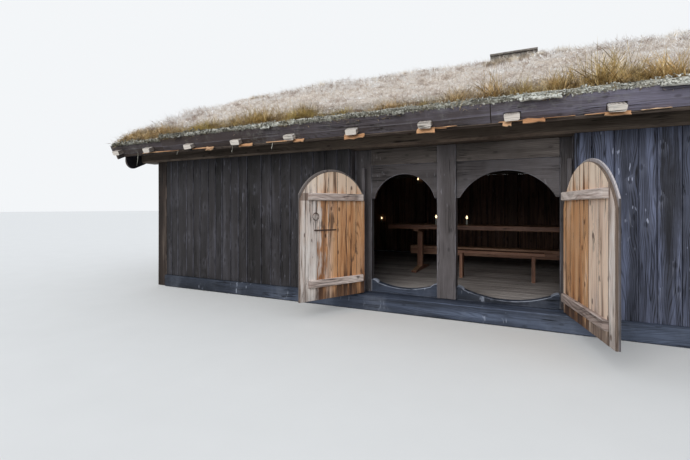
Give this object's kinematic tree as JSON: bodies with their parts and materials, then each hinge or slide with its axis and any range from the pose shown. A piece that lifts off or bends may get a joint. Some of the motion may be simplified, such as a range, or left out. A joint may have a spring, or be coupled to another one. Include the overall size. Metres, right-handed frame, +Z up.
{
  "type": "turf-roofed hall",
  "caption": "Long low timber hall with a turf roof, tarred board walls and a set-back portal of arched openings with swinging arched doors.",
  "frame": {"origin": "ground level under the middle of the floor, at the underside of the middle floor bearer", "axes": "+X along the front wall to the right as seen from outside, +Y from the front wall to the back, +Z up"},
  "size_m": [11.03, 7.1077, 4.0186],
  "materials": {
    "tarred_board": "rough",
    "tarred_timber": "rough",
    "weathered_timber": "rough",
    "eave_timber": "rough",
    "peg_wood": "rough",
    "door_pine": "rough",
    "inner_timber": "rough",
    "floor_board": "rough",
    "furniture_pine": "satin",
    "turf": "rough",
    "vent_wood": "rough",
    "wrought_iron": "rough"
  },
  "bodies": {
    "house": {"arch_board_left": "weathered_timber", "arch_board_right": "weathered_timber", "back_bench": "furniture_pine", "barge_boards": "tarred_timber", "corner_posts": "tarred_timber", "door_pins": "wrought_iron", "eave_boards": "eave_timber", "eave_pegs_back": "peg_wood", "eave_pegs_front": "peg_wood", "floor": "floor_board", "floor_bearers": "inner_timber", "front_bench": "furniture_pine", "jamb_strips": "weathered_timber", "king_posts": "inner_timber", "lintels": "weathered_timber", "middle_post": "weathered_timber", "portal_posts": "weathered_timber", "purlins": "inner_timber", "ridge_beam": "inner_timber", "roof_deck_back": "inner_timber", "roof_deck_front": "inner_timber", "sills_gable": "tarred_timber", "sills_long": "tarred_timber", "table_top": "furniture_pine", "table_trestles": "furniture_pine", "thresholds": "weathered_timber", "tie_beams": "inner_timber", "turf_back": "turf", "turf_front": "turf", "vent_curb": "vent_wood", "vent_lid": "vent_wood", "verge_boards": "tarred_timber", "wall_back": "tarred_board", "wall_front_left": "tarred_board", "wall_front_right": "tarred_board", "wall_gable_left": "tarred_board", "wall_gable_right": "tarred_board", "wall_plates": "tarred_timber", "wall_posts": "inner_timber"},
    "left_door": {"left_door_bar": "wrought_iron", "left_door_battens": "door_pine", "left_door_facing": "tarred_timber", "left_door_planks": "door_pine", "left_door_staple": "wrought_iron", "left_door_straps": "wrought_iron"},
    "right_door": {"right_door_battens": "door_pine", "right_door_facing": "tarred_timber", "right_door_planks": "door_pine", "right_door_straps": "wrought_iron"},
    "left_door_pull": {"left_door_ring": "wrought_iron"}
  },
  "joints": [
    {"name": "left_door_hinge", "type": "hinge", "parent": "house", "child": "left_door", "pos_m": [-1.149, -2.593, 0.9], "axis": [0, 0, 1], "range_deg": [-24, 117.5]},
    {"name": "right_door_hinge", "type": "hinge", "parent": "house", "child": "right_door", "pos_m": [1.306, -2.593, 0.9], "axis": [0, 0, 1], "range_deg": [-104, 11]},
    {"name": "ring_swing", "type": "hinge", "parent": "left_door", "child": "left_door_pull", "pos_m": [-1.45688, -3.34253, 1.288], "axis": [-0.4617, -0.887, 0], "range_deg": [0, 95]}
  ]
}
